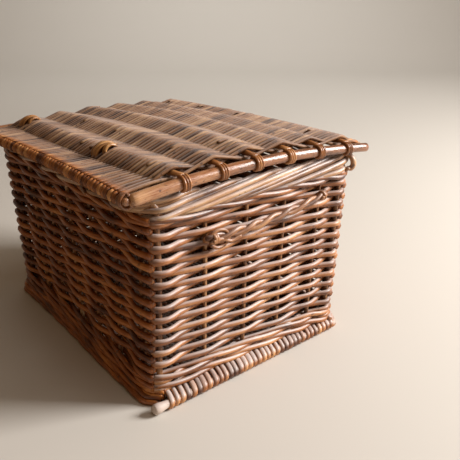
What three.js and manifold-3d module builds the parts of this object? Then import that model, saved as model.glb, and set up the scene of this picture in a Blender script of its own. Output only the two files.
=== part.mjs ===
// A small lidded willow basket: woven base, stake-and-strand walls, rod border, domed hinged lid.
// Units are millimetres. X runs along the basket, Y across it with the hinges at +Y, and Z is up.
// The origin is the middle of the footprint, on the surface that the basket stands on.
import * as THREE from "three";
import { ConvexGeometry } from "three/addons/geometries/ConvexGeometry.js";
import { mergeVertices } from "three/addons/utils/BufferGeometryUtils.js";
import Module from "manifold-3d";

// ---- driving dimensions ----
const BASE_LENGTH = 345; // outside of the walls where they stand on the table
const BASE_WIDTH = 259;
const BASKET_PLACE = -4.5; // Y of the basket's middle: its front stands further out under the lid
const FLARE = 0.039; // how far each wall leans out for each millimetre of height
const BASE_DEPTH = 13; // thickness of the woven base
const WALL_DEPTH = 13; // thickness of a woven wall
const WALL_TOP = 200;
const FIT = 0.3; // gap between pieces that touch
const MITRE_GAP = 0.45; // shortens the long sides where they meet the ends

const BORDER_HEIGHT = 209; // middle of the rod border
const BORDER_HALF_DEPTH = 7;
const BORDER_HALF_HEIGHT = 8.5;
const BORDER_SIDES = 10;

// Stakes between the corner posts, and how far the posts stand from the corners.
const LONG_SIDE_STAKES = { count: 5, first: -102, step: 50.6, postInset: 25 };
const END_STAKES = { count: 4, first: -88.5, step: 51.5, postInset: 14 };
const STAKE_PLACES_HEIGHT = 110; // the stakes fan out with the walls from their places at this height
const STAKE_RADIUS = 2.4;
const POST_RADIUS = 3.2; // the two heavier stakes at each corner

const BASE_END_PLACE = 178.5; // from the middle to an end stick
const BASE_SKEW = 0.045; // the end sticks lie a little askew, by this much for each millimetre of Y
const BASE_END_STICK_RADIUS = 4.6;
const BASE_END_STICK = { front: -132.5, back: 141.5 }; // its bare back end passes the wall
const BASE_WRAP_RADIUS = BASE_DEPTH / 2; // weavers wrapped round an end stick
const BASE_WRAP_REACH = 129;
const BASE_SHEET_REACH = 135.5; // half the width of the weave, a little proud of the walls
const BASE_STICKS = 5;
const BASE_STICK_RADIUS = 3.3;
const BASE_STICK_REACH = 125;

const LID_HEIGHT = 226; // axis of the lid's outer sticks where they meet its end rods
const LID_TILT = Math.atan(3.5 / 183); // the lid lies this much higher at its left end
const LID_HALF_LENGTH = 183.5; // to the axis of an end rod
const LID_HALF_WIDTH = 152; // to the axis of the front outer stick
const LID_BACK_REACH = 153.5; // to the axis of the back outer stick
const LID_WEAVE_DEPTH = 12.8;
const LID_WEAVE_HALF_LENGTH = 174;
const LID_RIM_ROOM = 27; // the weave comes down to the outer sticks over this width
const OUTER_STICK_RADIUS = 5.2;
const OUTER_WRAP_RADIUS = 7; // weavers wrapped round an outer stick
const OUTER_STICK_BOW = 5; // how far an outer stick rises at its middle
const END_ROD_RADIUS = 5.6;
const END_ROD_RISE = { left: 9.5, right: 4.2 }; // arch of each end rod
const END_ROD_FRONT_REACH = 160.5;
const LID_STICKS = 6;
const LID_STICK_RADIUS = 2.6;
const FIRST_LID_STICK = 94; // place of the stick nearest the hinges
const LID_STICK_STEP = 43.7;
const LID_STICK_SPREAD = 0.09; // sticks bow outwards by this share of their place
const LID_STICK_LIFT = 8; // a stick's tail lies on top of the end rod
const LID_CROWN = 8; // how far a middle stick rises at mid-length
const COIL_RADIUS = 8; // tail of a stick wound round an end rod
const COIL_WIDTH = 8;

const HINGE_PLACES = [-60, 144.5];
const HINGE_WIDTH = 7;
const HINGE_THICKNESS = 2;
const HINGE_RING_RADIUS = 11.2; // outside of the loop round the border
const HINGE_RISE_PLACE = 130; // where the loop comes up through the lid

const HANDLE_RADIUS = 4.5;
const HANDLE_STAND_OFF = 8.5; // from the wall to the axis of the handle
const HANDLE_BACK = { place: 71.5, height: 172 };
const HANDLE_FRONT = { place: -93.5, height: 187 };
const HANDLE_SAG = 3;
const HANDLE_END_GAP = 0.9; // from the wall to an end of the handle

// ---- colours of the aged willow ----
const finish = (color, roughness) => new THREE.MeshStandardMaterial({ color, roughness, metalness: 0 });
const STRAND_FINISH = finish(0x9a6a3c, 0.6);
const STAKE_FINISH = finish(0xa9835a, 0.65);
const BORDER_FINISH = finish(0xa67c50, 0.55);
const ROD_FINISH = finish(0x7d4f33, 0.4);
const LID_FINISH = finish(0x8e745a, 0.7);
const SKEIN_FINISH = finish(0xb98237, 0.5);

const wasm = await Module();
wasm.setup();

// ---- from geometry to solid and back, for cuts and joins ----
function solidOf(geometry) {
  const bare = geometry.clone();
  bare.deleteAttribute("normal");
  bare.deleteAttribute("uv");
  const merged = mergeVertices(bare, 1e-3);
  const mesh = new wasm.Mesh({
    numProp: 3,
    vertProperties: merged.attributes.position.array,
    triVerts: new Uint32Array(merged.index.array),
  });
  return new wasm.Manifold(mesh);
}

function geometryOf(solid) {
  const mesh = solid.getMesh();
  const geometry = new THREE.BufferGeometry();
  geometry.setAttribute("position", new THREE.BufferAttribute(mesh.vertProperties, 3));
  geometry.setIndex(new THREE.BufferAttribute(mesh.triVerts, 1));
  geometry.computeVertexNormals();
  return geometry;
}

const joined = (first, ...others) => others.reduce((whole, other) => whole.add(other), first);
const cutBy = (whole, tools) => tools.reduce((left, tool) => left.subtract(tool), whole);

// ---- shapes used by several pieces ----
const point = (x, y, z) => new THREE.Vector3(x, y, z);
const smoothPath = (points) => new THREE.CatmullRomCurve3(points, false, "centripetal");

// A round rod along a curve.
function rodAlong(curve, radius, steps, sides = 8) {
  const section = new THREE.Shape();
  for (let k = 0; k < sides; k++) {
    const turn = ((k + 0.5) / sides) * 2 * Math.PI;
    const x = radius * Math.cos(turn);
    const y = radius * Math.sin(turn);
    if (k === 0) section.moveTo(x, y);
    else section.lineTo(x, y);
  }
  section.closePath();
  return new THREE.ExtrudeGeometry(section, { steps, bevelEnabled: false, extrudePath: curve });
}

const straightRod = (from, to, radius, sides = 8) =>
  rodAlong(new THREE.LineCurve3(from, to), radius, 1, sides);

// A flat ring whose hole runs along X, made at the origin.
function ringAcrossX(outer, inner, width, sides) {
  const section = new THREE.Shape().absarc(0, 0, outer, 0, 2 * Math.PI, false);
  section.holes.push(new THREE.Path().absarc(0, 0, inner, 0, 2 * Math.PI, true));
  const options = { depth: width, bevelEnabled: false, curveSegments: sides };
  const ring = new THREE.ExtrudeGeometry(section, options);
  ring.translate(0, 0, -width / 2);
  ring.rotateZ(Math.PI / 2);
  return ring.rotateY(Math.PI / 2);
}

const basket = new THREE.Group();
const lid = new THREE.Group();

function place(group, name, geometry, material) {
  const mesh = new THREE.Mesh(geometry, material);
  mesh.name = name;
  group.add(mesh);
}

// ---- walls: four sides that lean out and meet in mitres ----
const halfLength = (z) => BASE_LENGTH / 2 + FLARE * z;
const halfWidth = (z) => BASE_WIDTH / 2 + FLARE * z;
const inBasket = (x, y, z) => point(x, y + BASKET_PLACE, z);

// Each side maps a place along it, a depth in from its outside, and a height to a point.
const SIDES = {
  back: { long: true, stakes: LONG_SIDE_STAKES, at: (s, d, z) => inBasket(s, halfWidth(z) - d, z) },
  front: { long: true, stakes: LONG_SIDE_STAKES, at: (s, d, z) => inBasket(s, d - halfWidth(z), z) },
  left: { long: false, stakes: END_STAKES, at: (s, d, z) => inBasket(d - halfLength(z), s, z) },
  right: { long: false, stakes: END_STAKES, at: (s, d, z) => inBasket(halfLength(z) - d, s, z) },
};
const reach = (side, z) => (side.long ? halfLength(z) - MITRE_GAP : halfWidth(z));

// A bar with the given outline of [depth, height] points, mitred at both ends.
function mitredBar(side, outline) {
  const corners = outline.flatMap(([d, z]) => {
    const half = reach(side, z) - d;
    return [side.at(-half, d, z), side.at(half, d, z)];
  });
  return new ConvexGeometry(corners);
}

// Number 0 and the one after the last stake are the corner posts.
function stakePlace(side, k, z) {
  const postReach = reach(side, z) - side.stakes.postInset;
  if (k === 0) return -postReach;
  if (k > side.stakes.count) return postReach;
  const fan = reach(side, z) / reach(side, STAKE_PLACES_HEIGHT);
  return fan * (side.stakes.first + side.stakes.step * (k - 1));
}

function stakeRod(side, k, radius, low, high) {
  const spot = (z) => side.at(stakePlace(side, k, z), WALL_DEPTH / 2, z);
  return straightRod(spot(low), spot(high), radius);
}

const borderOutline = Array.from({ length: BORDER_SIDES }, (_, k) => {
  const turn = (k / BORDER_SIDES) * 2 * Math.PI;
  return [
    WALL_DEPTH / 2 + BORDER_HALF_DEPTH * Math.cos(turn),
    BORDER_HEIGHT + BORDER_HALF_HEIGHT * Math.sin(turn),
  ];
});

const WALL_BOTTOM = BASE_DEPTH + FIT;
const wallOutline = [
  [0, WALL_BOTTOM],
  [WALL_DEPTH, WALL_BOTTOM],
  [WALL_DEPTH, WALL_TOP],
  [0, WALL_TOP],
];

const borderAxis = SIDES.back.at(0, WALL_DEPTH / 2, BORDER_HEIGHT); // the lid turns about this line

// The hinge loops turn in notches at the top of the back wall.
function hingeNotch(x) {
  const notch = ringAcrossX(HINGE_RING_RADIUS + 2 * FIT, 1, HINGE_WIDTH + 2, 12);
  notch.translate(x, borderAxis.y, borderAxis.z);
  return solidOf(notch);
}

for (const [name, side] of Object.entries(SIDES)) {
  const bores = [];
  for (let k = 0; k <= side.stakes.count + 1; k++) {
    const isPost = k === 0 || k > side.stakes.count;
    const radius = isPost ? POST_RADIUS : STAKE_RADIUS;
    const ends = side.long ? ["left", "right"] : ["front", "back"];
    const label = isPost ? `corner_post_${name}_${ends[k ? 1 : 0]}` : `stake_${name}_${k}`;
    place(basket, label, stakeRod(side, k, radius, WALL_BOTTOM, WALL_TOP), STAKE_FINISH);
    bores.push(solidOf(stakeRod(side, k, radius + FIT, WALL_BOTTOM - 3, WALL_TOP + 3)));
  }
  const notches = name === "back" ? HINGE_PLACES.map(hingeNotch) : [];
  const wall = cutBy(solidOf(mitredBar(side, wallOutline)), [...bores, ...notches]);
  place(basket, `wall_weave_${name}`, geometryOf(wall), STRAND_FINISH);
  place(basket, `border_${name}`, mitredBar(side, borderOutline), BORDER_FINISH);
}

// ---- base: two end sticks wrapped by the weavers, and sticks across between them ----
const skewed = (x, y) => x - BASE_SKEW * y;
function baseRod(x, radius, front, back) {
  const end = (y) => inBasket(skewed(x, y), y, BASE_DEPTH / 2);
  return straightRod(end(front), end(back), radius, 12);
}

const BASE_CUT_REACH = BASE_SHEET_REACH + 10; // bores run right through the weave
const baseCores = [];
const baseWraps = [];
for (const [name, x] of [["left", -BASE_END_PLACE], ["right", BASE_END_PLACE]]) {
  const stick = baseRod(x, BASE_END_STICK_RADIUS, BASE_END_STICK.front, BASE_END_STICK.back);
  place(basket, `base_end_stick_${name}`, stick, STAKE_FINISH);
  baseCores.push(solidOf(baseRod(x, BASE_END_STICK_RADIUS + FIT, -BASE_CUT_REACH, BASE_CUT_REACH)));
  baseWraps.push(solidOf(baseRod(x, BASE_WRAP_RADIUS, -BASE_WRAP_REACH, BASE_WRAP_REACH)));
}
for (let k = 1; k <= BASE_STICKS; k++) {
  const x = 2 * BASE_END_PLACE * (k / (BASE_STICKS + 1) - 0.5);
  const stick = baseRod(x, BASE_STICK_RADIUS, -BASE_STICK_REACH, BASE_STICK_REACH);
  place(basket, `base_stick_${k}`, stick, STAKE_FINISH);
  baseCores.push(solidOf(baseRod(x, BASE_STICK_RADIUS + FIT, -BASE_CUT_REACH, BASE_CUT_REACH)));
}
const sheetCorners = [-1, 1].flatMap((endX) =>
  [-1, 1].flatMap((endY) => {
    const y = endY * BASE_SHEET_REACH;
    const x = skewed(endX * (BASE_END_PLACE - BASE_WRAP_RADIUS / 2), y);
    return [inBasket(x, y, 0), inBasket(x, y, BASE_DEPTH)];
  }),
);
const baseSheet = solidOf(new ConvexGeometry(sheetCorners));
place(basket, "base_weave", geometryOf(cutBy(joined(baseSheet, ...baseWraps), baseCores)), STRAND_FINISH);

// ---- lid, in a group of its own whose zero height is the outer sticks' axis ----
const alongBow = (x) => 1 - (x / LID_HALF_LENGTH) ** 2;
const archAt = (x) => {
  const share = (x / LID_HALF_LENGTH + 1) / 2;
  return END_ROD_RISE.left * (1 - share) + END_ROD_RISE.right * share;
};
const arch = (x, y) => archAt(x) * (1 - (y / LID_HALF_WIDTH) ** 2);
const crown = (y) => LID_CROWN * Math.cos((Math.PI * y) / 340) ** 2.5;
const stickHeight = (x, y) => arch(x, y) + LID_STICK_LIFT + crown(y) * alongBow(x);
const stickPlace = (k, x) => (FIRST_LID_STICK - LID_STICK_STEP * k) * (1 + LID_STICK_SPREAD * alongBow(x));

// Middle of the weave: at the sticks' height inside, and down to the outer sticks at the two edges.
function weaveHeight(x, y) {
  const inside = Math.min(1, Math.max(0, (LID_HALF_WIDTH - Math.abs(y)) / LID_RIM_ROOM));
  return inside * stickHeight(x, y) + (1 - inside) * OUTER_STICK_BOW * alongBow(x);
}

const sweep = (half, steps, spot) =>
  smoothPath(Array.from({ length: steps + 1 }, (_, i) => spot(-half + (2 * half * i) / steps)));

const outerStick = (y, half, radius) =>
  rodAlong(sweep(half, 6, (x) => point(x, y, OUTER_STICK_BOW * Math.max(0, alongBow(x)))), radius, 6, 10);
const lidStick = (k, half, radius) =>
  rodAlong(sweep(half, 8, (x) => point(x, stickPlace(k, x), stickHeight(x, stickPlace(k, x)))), radius, 8);

// The back outer stick runs past the end rods. The front one stops against them.
const OUTER_STICKS = {
  back: { y: LID_BACK_REACH, half: LID_HALF_LENGTH + 3 },
  front: { y: -LID_HALF_WIDTH, half: LID_HALF_LENGTH - END_ROD_RADIUS - FIT },
};
const lidCores = [];
const edgeWraps = [];
for (const [name, { y, half }] of Object.entries(OUTER_STICKS)) {
  place(lid, `lid_outer_stick_${name}`, outerStick(y, half, OUTER_STICK_RADIUS), ROD_FINISH);
  lidCores.push(solidOf(outerStick(y, half + 5, OUTER_STICK_RADIUS + FIT)));
  edgeWraps.push(solidOf(outerStick(y, LID_WEAVE_HALF_LENGTH, OUTER_WRAP_RADIUS)));
}

// End rods arch from the back outer stick to past the front one.
const rodBackEnd = LID_BACK_REACH - OUTER_STICK_RADIUS - FIT;
for (const [name, x] of [["left", -LID_HALF_LENGTH], ["right", LID_HALF_LENGTH]]) {
  const points = Array.from({ length: 13 }, (_, i) => {
    const y = rodBackEnd - ((rodBackEnd + END_ROD_FRONT_REACH) * i) / 12;
    return point(x, y, arch(x, y));
  });
  place(lid, `lid_end_rod_${name}`, rodAlong(smoothPath(points), END_ROD_RADIUS, 12, 10), ROD_FINISH);
}

// The tail of each lid stick is wound round the end rod, as one coil at each end.
function tailCoil(k, x) {
  const y = stickPlace(k, x);
  const coil = ringAcrossX(COIL_RADIUS, END_ROD_RADIUS + 0.4, COIL_WIDTH, 6);
  coil.rotateZ(Math.PI / 2);
  coil.rotateX(-Math.atan((2 * archAt(x) * y) / LID_HALF_WIDTH ** 2));
  coil.translate(x, y, arch(x, y));
  return solidOf(coil);
}

for (let k = 0; k < LID_STICKS; k++) {
  const coils = [-LID_HALF_LENGTH, LID_HALF_LENGTH].map((x) => tailCoil(k, x));
  const stick = joined(solidOf(lidStick(k, LID_HALF_LENGTH + 2, LID_STICK_RADIUS - 0.4)), ...coils);
  place(lid, `lid_stick_${k + 1}`, geometryOf(stick), ROD_FINISH);
  lidCores.push(solidOf(lidStick(k, LID_HALF_LENGTH + 6, LID_STICK_RADIUS)));
}

// Each hinge loop goes round the border, up through the lid, over the weave and round the first stick.
function hingeLoop(x, grow) {
  const width = HINGE_WIDTH + 2 * grow;
  const thick = HINGE_THICKNESS / 2 + grow;
  const borderHeight = BORDER_HEIGHT - LID_HEIGHT + x * Math.tan(LID_TILT);
  const stickY = stickPlace(0, x);
  const stickZ = stickHeight(x, stickY);
  const overHeight = stickZ + LID_WEAVE_DEPTH / 2 + HINGE_THICKNESS / 2 + FIT;
  const ringAt = (outer, inner, y, z) => {
    const ring = ringAcrossX(outer + grow, Math.max(inner - grow, 0.5), width, 8);
    return solidOf(ring.translate(x, y, z));
  };
  const strap = (y0, z0, y1, z1) => {
    const box = new THREE.BoxGeometry(width, y1 - y0 + 2 * thick, z1 - z0 + 2 * thick);
    return solidOf(box.translate(x, (y0 + y1) / 2, (z0 + z1) / 2));
  };
  const ringTop = borderHeight + Math.sqrt(HINGE_RING_RADIUS ** 2 - (HINGE_RISE_PLACE - borderAxis.y) ** 2);
  return joined(
    ringAt(HINGE_RING_RADIUS, HINGE_RING_RADIUS - HINGE_THICKNESS, borderAxis.y, borderHeight),
    strap(HINGE_RISE_PLACE, ringTop, HINGE_RISE_PLACE, overHeight),
    strap(stickY, overHeight, HINGE_RISE_PLACE, overHeight),
    strap(stickY, stickZ + LID_STICK_RADIUS + 2, stickY, overHeight),
    ringAt(LID_STICK_RADIUS + HINGE_THICKNESS + 0.7, LID_STICK_RADIUS + 0.5, stickY, stickZ),
  );
}

const slots = [];
HINGE_PLACES.forEach((x, i) => {
  place(lid, `hinge_loop_${i + 1}`, geometryOf(hingeLoop(x, 0)), SKEIN_FINISH);
  slots.push(hingeLoop(x, FIT));
});

const sheetDepth = LID_HALF_WIDTH + LID_BACK_REACH;
const lidSheet = new THREE.BoxGeometry(2 * LID_WEAVE_HALF_LENGTH, sheetDepth, LID_WEAVE_DEPTH, 8, 14, 1);
lidSheet.translate(0, (LID_BACK_REACH - LID_HALF_WIDTH) / 2, 0);
const sheetPoints = lidSheet.attributes.position;
for (let i = 0; i < sheetPoints.count; i++) {
  const lift = weaveHeight(sheetPoints.getX(i), sheetPoints.getY(i));
  sheetPoints.setZ(i, sheetPoints.getZ(i) + lift);
}
const lidWeave = cutBy(joined(solidOf(lidSheet), ...edgeWraps), [...lidCores, ...slots]);
place(lid, "lid_weave", geometryOf(lidWeave), LID_FINISH);

// ---- twisted handles, tight along the two ends ----
for (const [name, side] of [["left", SIDES.left], ["right", SIDES.right]]) {
  const stretch = HANDLE_FRONT.place - HANDLE_BACK.place;
  const climb = HANDLE_FRONT.height - HANDLE_BACK.height;
  const spot = (share, out) => {
    const sag = 4 * HANDLE_SAG * share * (1 - share);
    return side.at(HANDLE_BACK.place + stretch * share, -out, HANDLE_BACK.height + climb * share - sag);
  };
  const points = [spot(0, HANDLE_END_GAP), spot(0, HANDLE_STAND_OFF / 2), spot(0.06, HANDLE_STAND_OFF)];
  for (let i = 2; i <= 8; i++) points.push(spot(i / 10, HANDLE_STAND_OFF));
  points.push(spot(0.94, HANDLE_STAND_OFF), spot(1, HANDLE_STAND_OFF / 2), spot(1, HANDLE_END_GAP));
  place(basket, `end_handle_${name}`, rodAlong(smoothPath(points), HANDLE_RADIUS, 18, 8), STRAND_FINISH);
}

lid.position.z = LID_HEIGHT;
lid.rotation.y = LID_TILT;

const hamper = new THREE.Group();
hamper.add(basket, lid);

export default hamper;
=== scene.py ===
"""A small lidded willow hamper, woven strand by strand round its CAD frame. Its sizes are in millimetres,
and become metres where each mesh is made. The camera, the floor and the lights are in metres."""
import math
import random

import bpy
import numpy as np
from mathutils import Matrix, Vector


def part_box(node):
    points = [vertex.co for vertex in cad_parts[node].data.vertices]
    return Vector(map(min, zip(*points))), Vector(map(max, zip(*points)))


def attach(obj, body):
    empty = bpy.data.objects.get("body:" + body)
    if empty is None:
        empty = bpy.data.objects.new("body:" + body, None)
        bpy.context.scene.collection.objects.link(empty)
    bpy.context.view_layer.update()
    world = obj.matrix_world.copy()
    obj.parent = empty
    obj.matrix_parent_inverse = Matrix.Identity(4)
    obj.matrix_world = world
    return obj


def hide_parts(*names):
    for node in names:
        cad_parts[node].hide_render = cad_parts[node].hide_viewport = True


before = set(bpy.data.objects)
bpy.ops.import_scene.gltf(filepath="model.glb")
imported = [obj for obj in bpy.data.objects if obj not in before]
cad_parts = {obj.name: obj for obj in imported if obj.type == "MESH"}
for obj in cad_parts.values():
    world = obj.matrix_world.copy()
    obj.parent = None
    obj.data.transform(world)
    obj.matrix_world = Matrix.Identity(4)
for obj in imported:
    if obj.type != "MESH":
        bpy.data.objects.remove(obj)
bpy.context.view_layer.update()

MM = 0.001
STEP = 4.0  # distance between the cross-sections of a strand
HEADING = -128.58  # the camera's turn about Z, in degrees
LOOKING_DOWN = 21.526  # how far it looks down, in degrees
chance = random.Random(7)


def box(node):
    """The low and high corners of a CAD node."""
    return tuple(np.array(corner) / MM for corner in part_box(node))


def middle_of(node, axis):
    """The middle of a CAD node's box along one axis."""
    low, high = box(node)
    return round(float(low[axis] + high[axis]) / 2, 2)


# ---- camera, at the angle the hamper is seen from ----
def make_camera():
    camera = bpy.data.objects.new("camera", bpy.data.cameras.new("camera"))
    bpy.context.collection.objects.link(camera)
    camera.location = (-0.654, 0.4148, 0.4134)
    camera.rotation_euler = (math.radians(90 - LOOKING_DOWN), 0, math.radians(HEADING))
    camera.data.sensor_width = 36
    camera.data.lens = 50.96
    bpy.context.scene.camera = camera


make_camera()


# ---- paths ----
def vec(*numbers):
    return np.array(numbers, float)


def unit(v):
    return v / np.linalg.norm(v, axis=-1, keepdims=True)


def smooth(points, step=STEP):
    """A smooth path through the points. Returns it with the index that each point has on it."""
    p = np.asarray(points, float)
    gap = np.maximum(np.linalg.norm(np.diff(p, axis=0), axis=1), 1e-6)
    slope = np.diff(p, axis=0) / gap[:, None]
    tangent = np.empty_like(p)
    tangent[0], tangent[-1] = slope[0], slope[-1]
    before, after = gap[:-1, None], gap[1:, None]
    tangent[1:-1] = (slope[:-1] * after + slope[1:] * before) / (before + after)
    path, knots = [], [0]
    for k, length in enumerate(gap):
        count = max(1, round(length / step))
        h = (np.arange(count) / count)[:, None]
        path.append(
            (1 + 2 * h) * (1 - h) ** 2 * p[k]
            + h * (1 - h) ** 2 * length * tangent[k]
            + h * h * (3 - 2 * h) * p[k + 1]
            + h * h * (h - 1) * length * tangent[k + 1]
        )
        knots.append(knots[-1] + count)
    path.append(p[-1:])
    return np.concatenate(path), knots


def lengths(path):
    """Distance along a path at each of its points."""
    return np.concatenate([[0], np.cumsum(np.linalg.norm(np.diff(path, axis=0), axis=1))])


def waver(count, spacing, size):
    """Slow random values, one for each of count places, that change over about spacing places."""
    knots = np.array([chance.uniform(-size, size) for _ in range(int(count / spacing) + 3)])
    place = np.arange(count) / spacing
    k = place.astype(int)
    blend = (1 - np.cos(np.pi * (place - k))) / 2
    return knots[k] * (1 - blend) + knots[k + 1] * blend


# ---- rods gathered into one mesh ----
ROUND_LENGTH, ROUND_SIZE = 0.35, 0.72  # of a rod's rounded end, as shares of its thickness
GRAIN_LENGTH, GRAIN_WIDTH = 3000, 900  # of the wood that the grain is taken from


class Bundle:
    """Willow rods, each with its own shade and its own stretch of grain."""

    def __init__(self):
        self.rings, self.faces, self.shades, self.grains, self.shade_and_wrap_values = [], [], [], [], []
        self.count = 0

    def add(self, path, across, wide, thick=None, shade=None, sides=8, rounded=True, warm=0.0):
        """A rod along a path. across is the direction in which its section is wide, wide and thick are half
        the section's sizes, and the last argument is how far it takes the deeper second bark and loses the
        pale
        sheen: painted shade on the walls of the shaded side, and the wraps' own colour at the lid's edges."""
        path = np.asarray(path, float)
        n = len(path)
        tangent = unit(np.gradient(path, axis=0))
        across = np.broadcast_to(np.asarray(across, float), path.shape)
        side = unit(across - (across * tangent).sum(1, keepdims=True) * tangent)
        normal = np.cross(side, tangent)

        def each(value):
            """One value for each point of the path."""
            return np.broadcast_to(np.asarray(value, float), (n,)).copy()

        wide, thick, warm = each(wide), each(wide if thick is None else thick), each(warm)
        shade = each(chance.random() if shade is None else shade)
        along = lengths(path) + chance.uniform(0, GRAIN_LENGTH)
        if rounded:  # one smaller section more at both ends
            lead = tangent[0] * thick[0] * ROUND_LENGTH
            tail = tangent[-1] * thick[-1] * ROUND_LENGTH
            path = np.concatenate([[path[0] - lead], path, [path[-1] + tail]])
            pick = np.array([0, *range(n), n - 1])
            side, normal, wide, thick = side[pick], normal[pick], wide[pick], thick[pick]
            shade, along, warm = shade[pick], along[pick], warm[pick]
            for size in (wide, thick):
                size[0] *= ROUND_SIZE
                size[-1] *= ROUND_SIZE
            n += 2
        turn = 2 * np.pi * np.arange(sides) / sides
        cos, sin = np.cos(turn)[None, :, None], np.sin(turn)[None, :, None]
        spread = side[:, None] * cos * wide[:, None, None] + normal[:, None] * sin * thick[:, None, None]
        self.rings.append((path[:, None] + spread).reshape(-1, 3))
        ring = np.arange(sides)
        first = self.count + np.arange(n - 1)[:, None] * sides
        a, b = first + ring, first + (ring + 1) % sides
        quads = np.stack([a, b, b + sides, a + sides], axis=-1).reshape(-1, 4)
        self.faces.extend(quads.tolist())
        self.faces.append((self.count + ring)[::-1].tolist())
        self.count += n * sides
        self.faces.append((self.count - sides + ring).tolist())
        self.shades.append(np.repeat(shade, sides))
        self.shade_and_wrap_values.append(np.repeat(warm, sides))
        apart = vec(0, chance.uniform(0, GRAIN_WIDTH), chance.uniform(0, GRAIN_WIDTH))
        grain = np.zeros((n, sides, 3))
        grain[..., 0] = along[:, None]
        grain[..., 1] = cos[..., 0] * wide[:, None]
        grain[..., 2] = sin[..., 0] * thick[:, None]
        self.grains.append((grain + apart).reshape(-1, 3))

    def piece(self, name, body, slot, material, *nodes):
        """Makes the mesh, which stands for the CAD nodes and moves with the body."""
        mesh = bpy.data.meshes.new(name)
        points = np.concatenate(self.rings) * MM
        mesh.from_pydata(points.tolist(), [], self.faces)
        mesh.polygons.foreach_set("use_smooth", np.ones(len(mesh.polygons), bool))
        for attribute, values in (("shade", self.shades), ("warm", self.shade_and_wrap_values)):
            data = mesh.attributes.new(attribute, "FLOAT", "POINT").data
            data.foreach_set("value", np.concatenate(values).astype(np.float32))
        grain = mesh.attributes.new("grain", "FLOAT_VECTOR", "POINT")
        flat = (np.concatenate(self.grains) * MM).astype(np.float32).ravel()
        grain.data.foreach_set("vector", flat)
        mesh.materials.append(material)
        obj = bpy.data.objects.new(name, mesh)
        bpy.context.collection.objects.link(obj)
        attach(obj, body)
        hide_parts(*nodes)


# ---- willow ----
class Graph:
    """The shader nodes of a new material."""

    def __init__(self, name):
        self.material = bpy.data.materials.new(name)
        self.material.use_nodes = True
        self.nodes = self.material.node_tree.nodes
        self.links = self.material.node_tree.links
        self.shader = self.nodes["Principled BSDF"]

    def feed(self, node, socket, value):
        """Gives an input of a node a number or a colour, or links it to another node's output."""
        if isinstance(value, (int, float)):
            node.inputs[socket].default_value = value
        elif isinstance(value, tuple):
            node.inputs[socket].default_value = (*value, 1)
        else:
            self.links.new(value, node.inputs[socket])

    def attribute(self, name, output="Fac"):
        node = self.nodes.new("ShaderNodeAttribute")
        node.attribute_name = name
        return node.outputs[output]

    def noise(self, source, scale, stretch, detail):
        mapping = self.nodes.new("ShaderNodeMapping")
        mapping.inputs["Scale"].default_value = stretch
        self.feed(mapping, "Vector", source)
        node = self.nodes.new("ShaderNodeTexNoise")
        self.feed(node, "Scale", scale)
        self.feed(node, "Detail", detail)
        self.feed(node, "Roughness", 0.6)
        self.feed(node, "Vector", mapping.outputs["Vector"])
        return node.outputs["Fac"]

    def maths(self, operation, *values):
        node = self.nodes.new("ShaderNodeMath")
        node.operation = operation
        for socket, value in enumerate(values):
            self.feed(node, socket, value)
        return node.outputs["Value"]

    def centred(self, value, size):
        """A value between 0 and 1, spread over size with 0 in its middle."""
        return self.maths("MULTIPLY_ADD", value, size, -size / 2)

    def mix(self, kind, factor, first, second):
        """A blend of two colours: sockets 6, 7 and 2 are the node's colour sockets."""
        node = self.nodes.new("ShaderNodeMix")
        node.data_type = "RGBA"
        node.blend_type = kind
        self.feed(node, "Factor", factor)
        self.feed(node, 6, first)
        self.feed(node, 7, second)
        return node.outputs[2]

    def between(self, value, low, high):
        """0 where a value is at low or under it, 1 at high or over it."""
        node = self.nodes.new("ShaderNodeMapRange")
        self.feed(node, "From Min", low)
        self.feed(node, "From Max", high)
        self.feed(node, "Value", value)
        return node.outputs["Result"]

    def bark(self, tone, dark, middle, light):
        """The colour at a tone between dark and light bark."""
        ramp = self.nodes.new("ShaderNodeValToRGB")
        stops = ramp.color_ramp.elements
        stops[0].position, stops[0].color = 0.16, (*dark, 1)
        stops[1].position, stops[1].color = 0.86, (*light, 1)
        stops.new(0.5).color = (*middle, 1)
        self.feed(ramp, "Fac", tone)
        return ramp.outputs["Color"]


GRIME = (0.16, 0.1, 0.07)
# pale colour laid on faces turned up: partly dusty bloom, partly a painted sheen of the light from above
DUST_AND_SHEEN = (0.54, 0.45, 0.41)


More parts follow.
